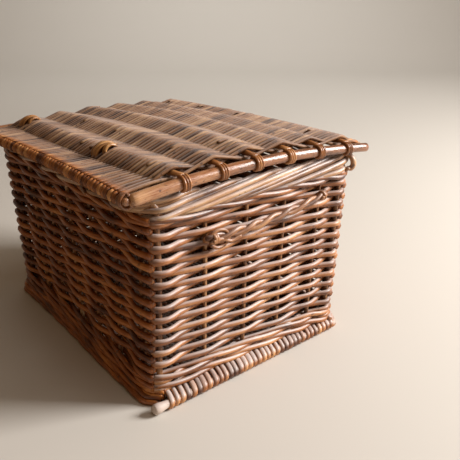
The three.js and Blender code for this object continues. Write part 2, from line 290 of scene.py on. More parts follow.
def willow(name, bark, rough=0.5, dust_and_sheen=0.0, gloss=0.5, shade_and_wrap_bark=None, facing=(0.15, 0.95)):
    """Aged willow: streaks along each rod, worn patches, its own shade for every rod. The second bark is a
    deeper
    one: painted shade on the walls of the shaded side, and the wraps' own colour at the lid's edges. facing
    is how far a face is turned up where a pale mix of dusty bloom and painted sheen begins, and where it's
    full."""
    graph = Graph(name)
    maths, shader = graph.maths, graph.shader
    grain = graph.attribute("grain", "Vector")
    streaks = graph.noise(grain, 900.0, (0.06, 1, 1), 4.0)
    patches = graph.noise(grain, 60.0, (0.5, 1, 1), 3.0)
    flecks = graph.noise(grain, 210.0, (0.7, 1, 1), 1.0)
    pores = graph.noise(grain, 1500.0, (0.25, 1, 1), 2.0)
    place = graph.nodes.new("ShaderNodeTexCoord").outputs["Object"]
    clouds = graph.noise(place, 14.0, (1, 1, 1), 3.0)

    # where each rod stands between dark and light bark
    tone = graph.centred(graph.attribute("shade"), 0.36)
    tone = maths("ADD", tone, maths("MULTIPLY", patches, 0.9))
    tone = maths("ADD", tone, graph.centred(clouds, 0.5))
    tone = maths("ADD", tone, graph.centred(streaks, 0.7))
    colour = graph.bark(tone, *bark)
    # second, deeper bark: painted shade on the shaded side's walls, which lose the pale sheen; the lid
    # wraps' own colour
    dust_and_sheen_share = 1.0
    if shade_and_wrap_bark:
        warm = graph.attribute("warm")
        dust_and_sheen_share = maths("SUBTRACT", 1.0, warm)
        colour = graph.mix("MIX", warm, colour, graph.bark(tone, *shade_and_wrap_bark))

    # dark flecks, leaf scars and grime
    grime = maths("MULTIPLY", graph.between(flecks, 0.66, 0.74), 0.75)
    colour = graph.mix("MULTIPLY", grime, colour, GRIME)

    # faces turned up get the pale colour: dusty bloom, and a painted sheen where the light falls on their
    # tops
    if dust_and_sheen:
        split = graph.nodes.new("ShaderNodeSeparateXYZ")
        graph.feed(split, "Vector", graph.nodes.new("ShaderNodeNewGeometry").outputs["Normal"])
        up = graph.between(split.outputs["Z"], *facing)
        amount = maths("MULTIPLY", up, maths("MULTIPLY", clouds, 2 * dust_and_sheen))
        colour = graph.mix("MIX", maths("MULTIPLY", amount, dust_and_sheen_share), colour, DUST_AND_SHEEN)

    bump = graph.nodes.new("ShaderNodeBump")
    height = maths("ADD", maths("MULTIPLY", streaks, 0.8), maths("MULTIPLY", pores, 0.35))
    graph.feed(bump, "Height", maths("ADD", height, maths("MULTIPLY", patches, 0.8)))
    graph.feed(bump, "Strength", 0.55)
    graph.feed(bump, "Distance", 0.0006)
    graph.feed(shader, "Base Color", colour)
    graph.feed(shader, "Roughness", maths("MULTIPLY_ADD", streaks, 0.35, rough - 0.18))
    graph.feed(shader, "Specular IOR Level", gloss)
    graph.feed(shader, "Normal", bump.outputs["Normal"])
    return graph.material


# dark, middle and light colours of each bark
BARK = ((0.08, 0.02, 0.004), (0.36, 0.12, 0.027), (0.62, 0.3, 0.11))
# painted shade: a deeper, more saturated copy of the weavers' bark for the side in shade
SHADED_SIDE_BARK = ((0.07, 0.013, 0.001), (0.35, 0.095, 0.01), (0.62, 0.25, 0.055))
WEATHERED_BARK = ((0.2, 0.12, 0.09), (0.45, 0.31, 0.24), (0.64, 0.52, 0.44))
STAKE_BARK = ((0.08, 0.028, 0.01), (0.38, 0.18, 0.07), (0.64, 0.42, 0.22))
BORDER_BARK = ((0.1, 0.03, 0.009), (0.46, 0.23, 0.1), (0.7, 0.48, 0.28))
ROD_BARK = ((0.05, 0.016, 0.006), (0.3, 0.115, 0.045), (0.56, 0.3, 0.14))
TAIL_BARK = ((0.08, 0.022, 0.006), (0.36, 0.135, 0.036), (0.6, 0.31, 0.115))
HANDLE_BARK = ((0.09, 0.026, 0.007), (0.4, 0.165, 0.055), (0.66, 0.38, 0.17))
LID_BARK = ((0.04, 0.012, 0.003), (0.215, 0.095, 0.036), (0.43, 0.25, 0.125))
SKEIN_BARK = ((0.1, 0.035, 0.008), (0.4, 0.17, 0.045), (0.66, 0.38, 0.15))

STRAND = willow("willow_strand", BARK, rough=0.44, dust_and_sheen=0.85, gloss=0.7, shade_and_wrap_bark=SHADED_SIDE_BARK)
WEATHERED = willow("willow_weathered", WEATHERED_BARK, rough=0.6, dust_and_sheen=0.5)
STAKE = willow("willow_stake", STAKE_BARK)
BORDER = willow("willow_border", BORDER_BARK, rough=0.4, dust_and_sheen=0.9, gloss=0.8)
ROD = willow("willow_rod", ROD_BARK, rough=0.3, gloss=0.8)
TAIL = willow("willow_tail", TAIL_BARK, rough=0.36, gloss=0.7)
HANDLE = willow("willow_handle", HANDLE_BARK, rough=0.4, dust_and_sheen=0.3, gloss=0.7)
LID = willow("willow_lid", LID_BARK, rough=0.52, dust_and_sheen=0.48, gloss=0.4, shade_and_wrap_bark=BARK, facing=(0.7, 1.0))
SKEIN = willow("willow_skein", SKEIN_BARK, rough=0.36, gloss=0.7)

# ---- the ring of stakes and corner posts ----
SIDES = ("back", "right", "front", "left")  # clockwise, seen from above
LONG_SIDES = ("back", "front")
OUTWARD = {"back": vec(0, 1, 0), "right": vec(1, 0, 0), "front": vec(0, -1, 0), "left": vec(-1, 0, 0)}
UP = vec(0, 0, 1)
RUN = {side: np.cross(OUTWARD[side], UP) for side in SIDES}  # clockwise along each side
POST_RADIUS = 3.1
STAKE_RADIUS = 2.4
STAKE_BENDS = 9  # places along a stake where it wavers
SPREAD_FOOT = 8.5  # how far the foot of the back wall has spread at its left end
SPREAD_HEIGHT = 170  # the wall is straight from here up


def axis_of(node):
    """Middle of the foot and of the top of a straight CAD rod."""
    points = np.array([v.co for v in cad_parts[node].data.vertices], float) / MM
    middle = (points[:, 2].min() + points[:, 2].max()) / 2
    low, high = points[points[:, 2] < middle], points[points[:, 2] >= middle]
    return low.mean(0), high.mean(0)


def side_nodes(side):
    """A side's corner posts and stakes, in clockwise order seen from above."""
    count = sum(name.startswith(f"stake_{side}_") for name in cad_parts)
    stakes = [f"stake_{side}_{k}" for k in range(1, count + 1)]
    ends = ("left", "right") if side in LONG_SIDES else ("front", "back")
    row = [f"corner_post_{side}_{ends[0]}", *stakes, f"corner_post_{side}_{ends[1]}"]
    return row if side in ("back", "left") else row[::-1]


def settled(p):
    """A point of the walls, where the foot of the back one has spread outwards towards its left end."""
    x, y, z = p
    low = min(max(1 - z / SPREAD_HEIGHT, 0), 1) ** 1.3
    left = 1 / (1 + math.exp((x + 40) / 35))
    back = min(max((y - 40) / 70, 0), 1)
    return p + vec(0, SPREAD_FOOT * low * left * back, 0)


class Station:
    """A stake or corner post that the weavers pass."""

    def __init__(self, node, side, corner):
        self.node, self.side, self.out = node, side, OUTWARD[side]
        self.corner = corner  # direction towards its corner, for a post
        self.low, self.high = axis_of(node)
        self.post = corner is not None
        self.radius = POST_RADIUS if self.post else STAKE_RADIUS

    def at(self, z):
        """Where its axis is at height z."""
        share = (z - self.low[2]) / (self.high[2] - self.low[2])
        return settled(self.low + (self.high - self.low) * share)


def make_stations():
    """The stations of all four sides, clockwise from the start of the back side."""
    found = []
    for side in SIDES:
        row = side_nodes(side)
        corners = {row[0]: -RUN[side], row[-1]: RUN[side]}
        found += [Station(node, side, corners.get(node)) for node in row]
    return found


stations = make_stations()
COUNT = len(stations)


def make_stakes():
    for s in stations:
        rods = Bundle()
        heights = s.low[2] + (s.high[2] - s.low[2]) * np.linspace(0, 1, STAKE_BENDS)
        lean = np.array([s.at(z) for z in heights])
        lean[:, 0] += waver(STAKE_BENDS, 3, 0.4)
        lean[:, 1] += waver(STAKE_BENDS, 3, 0.4)
        path, _ = smooth(lean)
        taper = np.linspace(1.06, 0.94, len(path)) * s.radius
        # corner posts take the darkest tones: painted shade, for the deep corner grooves they stand in
        shade = chance.uniform(0.0, 0.3) if s.post else None
        rods.add(path, vec(1, 0, 0), taper, shade=shade)
        rods.piece("willow_" + s.node, "basket", "stake", STAKE, s.node)


make_stakes()

# ---- walls ----
FLARE = 0.039  # how far a wall leans out for each millimetre of height
MIDDLE = vec(0, middle_of("wall_weave_left", 1), 0)  # the walls' own middle, forward of the lid's
ROW_PITCH = 6.37
FIRST_ROW = 39.5  # height of the lowest row of single weavers
ROWS = 25
WEAVER = 3.22  # half height of a weaver
WEAVER_DEPTH = 2.6  # half its depth
WEAVER_LENGTH = 620.0  # of the rods laid end to end in a row
PRESS = 0.6  # how far a weaver is pressed into a stake's bark
KNOB = 0.22  # how much plumper a weaver is where it turns a corner
KNOB_LENGTH = 8
DIVE = 6.0  # from an end's post towards the corner, where a weaver goes in behind it
WALE, TOP_WALE = 2.9, 2.6  # half height of a rod of the wale, at the foot and under the border
WALE_LEVELS = (18.2, 28.2)  # of the two rounds at the foot
WALE_LIFTS = (-2.3, 2.3, 0.5)  # of its three rods over that level
# how far out weavers pass each side's stakes: they're closer, and wider, on the far sides
SNUG = {"back": 0.96, "right": 0.74, "front": 0.74, "left": 0.98}
# painted shade: how far each side's weavers take the deeper bark and lose the pale sheen; most on the
# shaded back
SIDE_SHADE = {"back": 1.0, "right": 0.5, "front": 0.2, "left": 0.0}


def wall_halves():
    """Half the length and half the width over the outsides of the walls, at the table."""
    low, high = box("wall_weave_left")
    lean = FLARE * high[2]
    return round(float(-low[0] - lean), 2), round(float((high[1] - low[1]) / 2 - lean), 2)


HALF_LENGTH, HALF_WIDTH = wall_halves()


def corner_middle(post, other, z, outside):
    """Where a weaver crosses a corner between its two posts: out at the corner itself if it comes from
    outside the post of the long side, and straight between the posts if it comes from inside."""
    chord = (post.at(z) + other.at(z)) / 2
    if not outside:
        return chord
    end, long = (other, post) if post.side in LONG_SIDES else (post, other)
    corner = vec(end.at(z)[0], long.at(z)[1], z)
    return chord + (corner - chord) * 0.98


def turn_points(post, after, z, outside, clear):
    """Points of a weaver between the last post of a side and the first of the next one, and which of them
    is at the corner. From outside, it dives in behind the end's post beside the corner."""
    corner = corner_middle(post, after, z, outside)
    if not outside:
        return [corner], 0
    from_long = post.side in LONG_SIDES
    end = after if from_long else post
    dive = end.at(z) + end.corner * DIVE - end.out * clear
    return ([corner, dive], 0) if from_long else ([dive, corner], 1)


def weave_points(heights, ways):
    """Points of one weaver round the whole basket, from its height at each station and its way past it: 1
    for outside and -1 for inside. Also returns where it crosses each corner, and where it is plump."""
    points, crossings, knobs = [], [], []
    for k, s in enumerate(stations):
        z, way = heights[k], ways[k]
        after, way_after = stations[(k + 1) % COUNT], ways[(k + 1) % COUNT]
        turning = s.side != after.side
        clear = (s.radius + WEAVER_DEPTH - PRESS) * SNUG[s.side]
        passing = [s.at(z) + s.out * clear * way]
        if s.post and way > 0 and s.side not in LONG_SIDES:
            # and round the side of an end's post that faces the corner
            flank = s.at(z) + (s.corner * 1.02 + s.out * 0.42) * clear
            knobs.append(len(points) + turning)
            passing = [*passing, flank] if turning else [flank, *passing]
        points.extend(passing)
        z_after = (z + heights[(k + 1) % COUNT]) / 2
        if turning:
            outside = (way if s.side in LONG_SIDES else way_after) > 0
            turn, corner = turn_points(s, after, z_after, outside, clear)
            crossings.append(len(points) + corner)
            if outside:
                knobs.append(crossings[-1])
            points.extend(turn)
        elif way != way_after:
            points.append((s.at(z_after) + after.at(z_after)) / 2)
    return points, crossings, knobs


def woven_ring(bundles, heights, ways, wide):
    """One weaver round the basket, made of rods laid end to end and shared out to the sides' bundles."""
    points, crossings, knobs = weave_points(heights, ways)
    first = crossings[-1]
    looped = points[first:] + points[: first + 1]
    path, places = smooth([points[first - 1], *looped, points[(first + 1) % len(points)]])

    def place_of(k):
        """Index on the path of one of the points."""
        return places[1 + (k - first) % len(points)]

    run = lengths(path)
    rod = run / WEAVER_LENGTH + chance.random()
    size = wide * (1.05 - 0.1 * np.abs(2 * (rod - np.floor(rod)) - 1))
    size = size * (1 + waver(len(path), 9, 0.035))
    for k in knobs:
        apart = np.abs(run - run[place_of(k)])
        size = size * (1 + KNOB * np.exp(-((apart / KNOB_LENGTH) ** 2)))
    tones = np.array([chance.random() for _ in range(int(rod[-1]) + 2)])
    shade = tones[rod.astype(int)] + waver(len(path), 30, 0.12)
    cuts = [places[1], *(place_of(k) for k in crossings[:-1]), places[-2]]
    for side, start, end in zip(SIDES, cuts[:-1], cuts[1:]):
        part = slice(max(start - 1, 0), end + 2)
        size[start : end + 1] *= 1.0 + (1 - SNUG[side]) * 1.2
        bundles[side].add(
            path[part], UP, size[part], size[part] * 0.8, shade[part], rounded=False, warm=SIDE_SHADE[side]
        )


def make_walls():
    bundles = {side: Bundle() for side in SIDES}
    for row in range(ROWS):
        drift = waver(COUNT, 5, 0.5)
        drift[-1] = drift[0]
        heights = FIRST_ROW + ROW_PITCH * row + drift
        ways = [1 if (k + row) % 2 == 0 else -1 for k in range(COUNT)]
        woven_ring(bundles, heights, ways, WEAVER * chance.uniform(0.95, 1.04))
    # rounds of three-rod wale at the foot and under the border: outside two stakes, inside one
    under_border = FIRST_ROW + ROW_PITCH * ROWS + 2.0
    for level, thick in zip((*WALE_LEVELS, under_border), (WALE, WALE, TOP_WALE)):
        for rod in range(3):
            heights = [level + WALE_LIFTS[(k + rod) % 3] for k in range(COUNT)]
            ways = [(1, 1, -1)[(k + rod) % 3] for k in range(COUNT)]
            woven_ring(bundles, heights, ways, thick * chance.uniform(0.94, 1.05))
    for side, bundle in bundles.items():
        bundle.piece(f"woven_wall_{side}", "basket", "strand", STRAND, f"wall_weave_{side}")


make_walls()

# ---- rim: the stakes turned down into a border ----
RIM = middle_of("border_back", 2)  # height of the middle of the border
RIM_DEPTH = 6.5  # from the outside of a wall to the middle of it
CORNER = 7.5  # radius of the rim's middle line at a corner
MATE_SHIFT, MATE_INSET = 19, 4.6  # of the thinner rod that lies beside each stake's own


def rim_half(z):
    """Half the length and half the width of the rim's middle line at height z."""
    return HALF_LENGTH + FLARE * z - RIM_DEPTH, HALF_WIDTH + FLARE * z - RIM_DEPTH


RIM_SPANS = [2 * (half - CORNER) for half in rim_half(RIM)] * 2  # each side's straight stretch
RIM_ARC = math.pi * CORNER / 2


def rim_point(distance, out, z):
    """The point at a distance along the rim's middle line, clockwise from the start of the back side,
    moved outwards by out and put at height z."""
    length, width = rim_half(z)
    distance = distance % (sum(RIM_SPANS) + 4 * RIM_ARC)
    for side, span in zip(SIDES, RIM_SPANS):
        half_run, half_out = (length, width) if side in LONG_SIDES else (width, length)
        run, outward = RUN[side], OUTWARD[side]
        if distance <= span:
            share = 2 * distance / span - 1
            return MIDDLE + run * share * (half_run - CORNER) + outward * (half_out + out) + UP * z
        distance -= span
        if distance <= RIM_ARC:
            turn = distance / CORNER
            centre = MIDDLE + run * (half_run - CORNER) + outward * (half_out - CORNER)
            return centre + (outward * math.cos(turn) + run * math.sin(turn)) * (CORNER + out) + UP * z
        distance -= RIM_ARC
    return rim_point(0, out, z)  # past the end by a rounding error


def rim_place(station):
    """Distance along the rim at which a station stands."""
    k = SIDES.index(station.side)
    along = float(RUN[station.side] @ (station.at(RIM) - MIDDLE))
    return sum(RIM_SPANS[:k]) + k * RIM_ARC + RIM_SPANS[k] / 2 + along


def add_border_rod(bundle, place, inset):
    """A stake turned down over its neighbours: it crosses outside them and is tucked in. A rod with an
    inset is thinner, and lies lower and further in."""
    reach = chance.uniform(176, 206)
    thick = chance.uniform(2.7, 3.2) - 0.04 * inset
    high = chance.uniform(-0.6, 0.7) - 0.55 * inset
    stages = (  # distance along the rim, how far out, height
        (0, 0, 200),
        (-1, -1.5, 213),
        (5, -3.6, 220.0 + high),
        (16, -1.4 - inset, 221.7 + high),
        (0.20 * reach, 2.2 - inset, 220.3 + high / 2),
        (0.36 * reach, 4.4 - inset, 217.0),
        (0.52 * reach, 5.3 - inset, 212.8),
        (0.70 * reach, 5.3 - inset, 208.0),
        (0.86 * reach, 3.8 - inset, 204.2),
        (0.95 * reach, -0.4 - inset, 202.8),
        (reach, -5.0, 203.0),
    )
    path, _ = smooth([rim_point(place + along, out, z) for along, out, z in stages])
    taper = np.linspace(1.08, 0.9, len(path)) * thick
    tone = chance.random() + waver(len(path), 10, 0.12)
    tone -= 0.5 * np.exp(-((lengths(path) / 26) ** 2))  # darker where it comes up out of the wall
    bundle.add(path, UP, taper, taper * 0.95, tone)


def add_curl(bundle):
    """A rod end curled round the border beside the lid's front end."""
    centre = vec(-HALF_LENGTH - FLARE * RIM + RIM_DEPTH - 1, MIDDLE[1] - HALF_WIDTH - 2.5, RIM + 5)
    turn = np.linspace(-1.2, 5.6, 30)
    path = centre + 8.4 * np.stack([-np.cos(turn), 0.12 * turn - 0.3, np.sin(turn)], axis=1)
    bundle.add(path, vec(0, 1, 0), np.linspace(3.4, 2.6, len(turn)), shade=0.8)


def make_border():
    bundles = {side: Bundle() for side in SIDES}
    for s in stations:
        add_border_rod(bundles[s.side], rim_place(s), 0)
        add_border_rod(bundles[s.side], rim_place(s) + MATE_SHIFT, MATE_INSET)
    add_curl(bundles["left"])
    for side, bundle in bundles.items():
        bundle.piece(f"border_rods_{side}", "basket", "border", BORDER, f"border_{side}")


make_border()

# ---- base: weavers over cross sticks, wrapped round the two end sticks ----
BASE_SKEW = 0.045  # its sticks lie askew by this for each millimetre of Y
BASE_FRONT, BASE_BACK = -134.0, 124.0  # first and last places for weavers
BASE_PITCH = 7.2  # between neighbouring pairs of weavers
BASE_STRAND = 3.4  # half width of a base weaver
BASE_THICK = 1.9  # half its thickness
BASE_WRAP = 4.7  # from the axis of an end stick to the path of a weaver round it
INNER_STICK, END_STICK = 3.2, 4.2  # radii
BARE_END, BARE_FROM = 1.4, 126  # how much thicker an end stick is past the weave, and where in Y
STICK_POINTS = 60
FOOT = 3.0  # half thickness of the heavy rods along the foot of a long wall
FOOT_TWIST = 118  # length of a full turn of those rods round each other


def base_x(x, y):
    """Where a stick of the base stands in X at place y along it."""
    return x - BASE_SKEW * (y - MIDDLE[1])


def make_base_sticks(cross, height):
    for x, name in cross:
        end = "end" in name
        low, high = box(name)
        front = low[1] + (3.2 if end else 0.8)
        back = high[1] - (14 if name.endswith("right") else 0.8)  # the right one doesn't pass the wall
        y = np.linspace(front, back, STICK_POINTS)
        path = np.stack([base_x(x, y), y, np.full(STICK_POINTS, height)], axis=1)
        path[:, 2] += waver(STICK_POINTS, 15, 0.2)
        bare = np.clip((y - BARE_FROM) / 3, 0, 1)
        radius = END_STICK + BARE_END * bare if end else INNER_STICK
        rods = Bundle()
        rods.add(path, vec(1, 0, 0), radius, shade=1.4 if end else None, sides=12)
        rods.piece("willow_" + name, "basket", "stake", WEATHERED if end else STAKE, name)


def base_pair(cross, height, front):
    """A weaver that crosses the base, turns round an end stick, comes back and turns round the other."""
    points = []
    inner = list(enumerate(cross[1:-1]))
    for leg, direction in ((0, 1), (1, -1)):
        y = front + leg * BASE_PITCH / 2
        for number, (x, _) in inner[::direction]:
            up = 1 if (number + leg) % 2 else -1
            points.append(vec(base_x(x, y), y, height + up * (BASE_THICK + INNER_STICK) * 0.86))
        edge = base_x(cross[-1 if leg == 0 else 0][0], y)
        for turn in range(0, 181, 45):  # degrees round it from its top
            angle = math.radians(90 - turn)
            x = edge + direction * BASE_WRAP * math.cos(angle)
            along = y + BASE_PITCH / 2 * turn / 180
            points.append(vec(x, along, height + BASE_WRAP * math.sin(angle)))
    return points


def add_foot(weave, side):
    """Heavy rods twisted together along the foot of a long wall, fuller towards the left end. side is 1 for
    the back wall and -1 for the front one."""
    low, high = box("wall_weave_back" if side > 0 else "wall_weave_front")
    face = high[1] - 8 if side > 0 else low[1] + 8
    x = np.linspace(-174, 175, 90)
    full = 9.0 / (1 + np.exp((x + 20) / 40))
    bend = np.clip((-x - 158) / 14, 0, 1) ** 2 + np.clip((x - 160) / 14, 0, 1) ** 2  # in at the corners
    for level, out in ((FOOT + 0.2, 2.6), (FOOT * 2.9, 1.0), (FOOT * 4.6, -1.0)):
        for rod in range(3):
            turn = 2 * math.pi * (x / FOOT_TWIST + rod / 3 + level)
            depth = face + side * (out + full * (1 - level / 30) + 1.6 * np.cos(turn) - 11 * bend)
            height = np.maximum(level + 1.3 * np.sin(turn), FOOT)
            path = np.stack([x, depth, height], axis=1)
            # painted shade: the back foot, on the shaded side, takes the deeper bark and none of the pale
            # sheen
            weave.add(path, UP, FOOT * chance.uniform(0.85, 0.98), warm=0.5 + 0.5 * side)


def make_base():
    inner = sorted(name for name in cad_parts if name.startswith("base_stick_"))
    cross = []  # each stick's place in X at the middle of the base, and its name
    for name in ("base_end_stick_left", *inner, "base_end_stick_right"):
        low, high = box(name)
        x, y = (low + high)[:2] / 2
        cross.append((x + BASE_SKEW * (y - MIDDLE[1]), name))
    low, high = box("base_weave")
    height = (low[2] + high[2]) / 2
    make_base_sticks(cross, height)
    weave = Bundle()
    for pair in range(int((BASE_BACK - BASE_FRONT) / BASE_PITCH)):
        front = BASE_FRONT + BASE_PITCH * (pair + 0.25)
        path, _ = smooth(base_pair(cross, height, front))
        path[:, 2] = np.maximum(path[:, 2], BASE_THICK)
        path[:, 1] += waver(len(path), 12, 0.9)
        tone = chance.uniform(-0.2, 1.5) + waver(len(path), 12, 0.35)
        wide = BASE_STRAND * (chance.uniform(0.8, 1.05) + waver(len(path), 8, 0.14))
        weave.add(path, vec(0, 1, 0), wide, BASE_THICK, tone)
    add_foot(weave, 1)
    add_foot(weave, -1)
    weave.piece("woven_base", "basket", "strand", STRAND, "base_weave")


make_base()

# ---- lid ----
LID_HEIGHT = 226.0  # of the outer sticks' axes where they meet the end rods
LID_TILT = math.atan(3.5 / 183)  # the lid lies this much higher at its left end
LID_HALF_LENGTH = 183.5  # to the axis of an end rod
LID_HALF_WIDTH = 152.0
LID_FRONT = middle_of("lid_outer_stick_front", 1)  # axes of the outer sticks
LID_BACK = middle_of("lid_outer_stick_back", 1)
FRONT_STICK_HALF = 177.5  # half the front outer stick's length
END_ROD_FRONT = -157.8  # front end of an end rod
END_ROD_RADII = (6.3, 5.0)  # at its back and its front
WEAVE_HALF = 174.0  # half the length of the weave
OUTER_STICK = 3.6  # radius of an outer stick in the weave
OUTER_BOW = 5.0  # how far an outer stick rises at its middle
END_RISE = {"left": 9.5, "right": 4.2}  # arch of each end rod
STICK_LIFT = 6.6  # an inner stick lies this far above the arch of the end rods
CROWN = 8.0  # how much further a middle stick rises at mid-length
CROWN_WIDTH = 340  # of the wave that the crown is taken from
STICKS = sum(name.startswith("lid_stick_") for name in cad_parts)
FIRST_STICK, STICK_STEP = 94.0, 43.7  # place of the stick nearest the hinges, and the step to the next
SPREAD = 0.09  # the sticks bow outwards by this share of their place
LID_STICK = 3.2  # radius
LID_STEP = 3.4  # distance between the cross-sections of a lid weaver
LID_PITCH = 6.5  # between neighbouring weavers that pass over the same stick
SLAT = 2.4  # half width of a lid weaver
SLAT_THICK = 2.0  # half its thickness
HUMP = 5.72  # how far a weaver stands above or below the middle of a stick
SHOULDER, SHOULDER_SHARE = 7.5, 0.66  # so far beside the stick, it stands this share of HUMP off
WRAP = 4.45  # path of a weaver round an outer stick
WRAP_TURN = (90, 45, 0, -45, -90)  # degrees at which that path has its points
LEG_POINTS = 3 * STICKS
SPLICE_TOP = 19  # the cut ends lie only on sticks lower than this


def lid_space(points):
    """From the lid's own axes to the frame's: raised, and tilted about Y."""
    p = np.asarray(points, float)
    cos, sin = math.cos(LID_TILT), math.sin(LID_TILT)
    x = p[..., 0] * cos + p[..., 2] * sin
    z = -p[..., 0] * sin + p[..., 2] * cos + LID_HEIGHT
    return np.stack([x, p[..., 1], z], axis=-1)


def bow(x):
    """1 at mid-length, falling to 0 at the end rods."""
    return 1 - (x / LID_HALF_LENGTH) ** 2


def arch_at(x):
    share = (x / LID_HALF_LENGTH + 1) / 2
    return END_RISE["left"] * (1 - share) + END_RISE["right"] * share


def end_rise(x, y):
    return arch_at(x) * (1 - (y / LID_HALF_WIDTH) ** 2)


def stick_height(x, y):
    crown = CROWN * math.cos(math.pi * y / CROWN_WIDTH) ** 2.5
    return end_rise(x, y) + STICK_LIFT + crown * bow(x)


def stick_place(k, x):
    """Where inner stick k stands in Y, counted from the hinges."""
    return (FIRST_STICK - STICK_STEP * k) * (1 + SPREAD * bow(x))


def lid_leg(x, first_over):
    """Points of one weaver from the back outer stick to the front one: it bends sharply over each stick."""
    points = []
    for k in range(STICKS):
        y = stick_place(k, x)
        side = 1 if (k % 2 == 0) == first_over else -1
        for step, share in ((SHOULDER, SHOULDER_SHARE), (0, 1), (-SHOULDER, SHOULDER_SHARE)):
            points.append((x, y + step, stick_height(x, y + step) + side * HUMP * share))
    return points


def wrap_points(x, drift, y, outward):
    """Half a turn round an outer stick, from its top to its foot, moving along it by drift."""
    reach = WRAP - 0.5 * max(0.0, x / WEAVE_HALF)  # closer at the right end, which lies lower
    points = []
    for k, degrees in enumerate(WRAP_TURN):
        angle = math.radians(degrees)
        along = x + drift * k / (len(WRAP_TURN) - 1)
        lift = OUTER_BOW * max(0.0, bow(along))
        points.append((along, y + outward * reach * math.cos(angle), lift + reach * math.sin(angle)))
    return points


def lid_pair(x, half):
    """A weaver that crosses the lid, turns round the front outer stick, comes back half a pitch further on
    and turns round the back one. It starts on the back one, and goes under the first inner stick."""
    forward = lid_leg(x, False)
    backward = lid_leg(x + half, True)[::-1]
    top_back = wrap_points(x, 0, LID_BACK, 1)[0]
    under_front = wrap_points(x, half, LID_FRONT, -1)[::-1]
    over_back = wrap_points(x + half, half, LID_BACK, 1)[::-1]
    return smooth([top_back, *forward, *under_front, *backward, *over_back], LID_STEP)


def beside_stick(count, knots):
    """Distance along a weaver from each of its points to the nearest middle of a hump."""
    back_leg = 1 + LEG_POINTS + len(WRAP_TURN)
    humps = [knots[k] for k in range(2, 1 + LEG_POINTS, 3)]
    humps += [knots[k] for k in range(back_leg + 1, back_leg + LEG_POINTS, 3)]
    return np.min(np.abs(np.arange(count)[:, None] - np.array(humps)), axis=1) * LID_STEP


def add_splice(bundle, x):
    """The cut end of a weaver, laid over a stick beside the one that goes on in its place."""
    k = chance.randrange(STICKS)
    y = stick_place(k, x)
    if chance.random() < 0.45 or stick_height(x, y) > SPLICE_TOP:
        return
    way = chance.choice((-1, 1))
    steps = (  # distance past the stick, and height over its axis
        (17, -2.0),
        (8, HUMP * 0.66),
        (0, HUMP + 1.1),
        (-6, HUMP * 0.8 + 1.6),
        (-chance.uniform(8, 13), HUMP * 0.7 + 1.2),
    )
    points = [(x, y + way * along, stick_height(x, y + way * along) + lift) for along, lift in steps]
    path, _ = smooth(points, 3.0)
    bundle.add(lid_space(path), vec(1, 0, 0), 2.5, 1.3, chance.uniform(0.4, 1.3), sides=6)


def make_lid_weave():
    bundle = Bundle()
    x = -WEAVE_HALF + LID_PITCH * 0.3
    while x < WEAVE_HALF - LID_PITCH * 0.9:
        pitch = LID_PITCH * chance.uniform(0.9, 1.1)
        path, knots = lid_pair(x, pitch / 2)
        count = len(path)
        front = knots[1 + LEG_POINTS + len(WRAP_TURN) // 2]  # half-way round the front outer stick
        tones = [chance.uniform(-0.05, 1.3) for _ in range(2)]
        shade = np.where(np.arange(count) < front, *tones) + waver(count, 25, 0.3)
        path[:, 0] += waver(count, 12, 0.5)
        # narrow where two weavers cross between the sticks, full where one lies over a stick
        full = np.exp(-((beside_stick(count, knots) / 14.0) ** 4))
        edge = np.clip((np.abs(path[:, 1]) - 142) / 9, 0, 1)
        fullness = 0.84 + 0.16 * np.maximum(full, edge)
        wide = SLAT * chance.uniform(0.84, 1.08) * fullness + 0.5 * edge
        thick = SLAT_THICK * fullness + 0.15 * edge
        bundle.add(lid_space(path), vec(1, 0, 0), wide, thick, shade, rounded=False, warm=edge)
        add_splice(bundle, x + pitch / 2 * 0.6)
        x += pitch
    bundle.piece("woven_lid", "lid", "lid_strand", LID, "lid_weave")


make_lid_weave()


def coil(bundle, centre, axis, start, radius, turns, rise, wide, thick, steps=16, space=lid_space):
    """A rod wound round an axis through centre: start is the direction of its first point, rise is how far
    it goes along the axis, and space turns its points into the frame's."""
    axis, start = unit(axis), unit(start)
    other = np.cross(axis, start)
    count = max(4, int(steps * abs(turns)))
    turn = np.linspace(0, 2 * math.pi * turns, count)
    share = np.linspace(-0.5, 0.5, count)
    path = (
        centre
        + radius * (np.cos(turn)[:, None] * start + np.sin(turn)[:, None] * other)
        + axis * rise * share[:, None]
    )
    bundle.add(space(path), space(axis) - space(vec(0, 0, 0)), wide, thick)


def add_stick_tail(rods, end):
    """An end of the back outer stick: a coil round it beside the weave, and the coil's cut stub."""
    centre = vec(end * (WEAVE_HALF + 4.5), LID_BACK - 1.4, -0.5)
    coil(rods, centre, vec(1, 0, 0), vec(0, -1, 0.3), 6.3, 2.2 * end, 6.5 * end, 2.4, 1.6, 22)
    stub = [centre + vec(end * along, -3.4, -1.8) for along in (-9.0, 0.0, 6.0)]
    rods.add(lid_space(stub), UP, 2.6, 2.0, 1.6)


def make_outer_sticks():
    for name, y, half, bare_end in (
        ("back", LID_BACK, LID_HALF_LENGTH, 0.2),
        ("front", LID_FRONT, FRONT_STICK_HALF, 1.5),
    ):
        rods = Bundle()
        x = np.linspace(-half, half, 110)
        path = np.stack([x, np.full(len(x), y), OUTER_BOW * np.maximum(0, bow(x))], axis=1)
        bare = np.clip((np.abs(x) - WEAVE_HALF - 1) / 2, 0, 1)  # thicker beyond the weave
        rods.add(lid_space(path), UP, OUTER_STICK + bare_end * bare, shade=0.9, sides=14)
        if name == "back":
            add_stick_tail(rods, -1)
            add_stick_tail(rods, 1)
        rods.piece(f"outer_stick_{name}", "lid", "rod", ROD, f"lid_outer_stick_{name}")


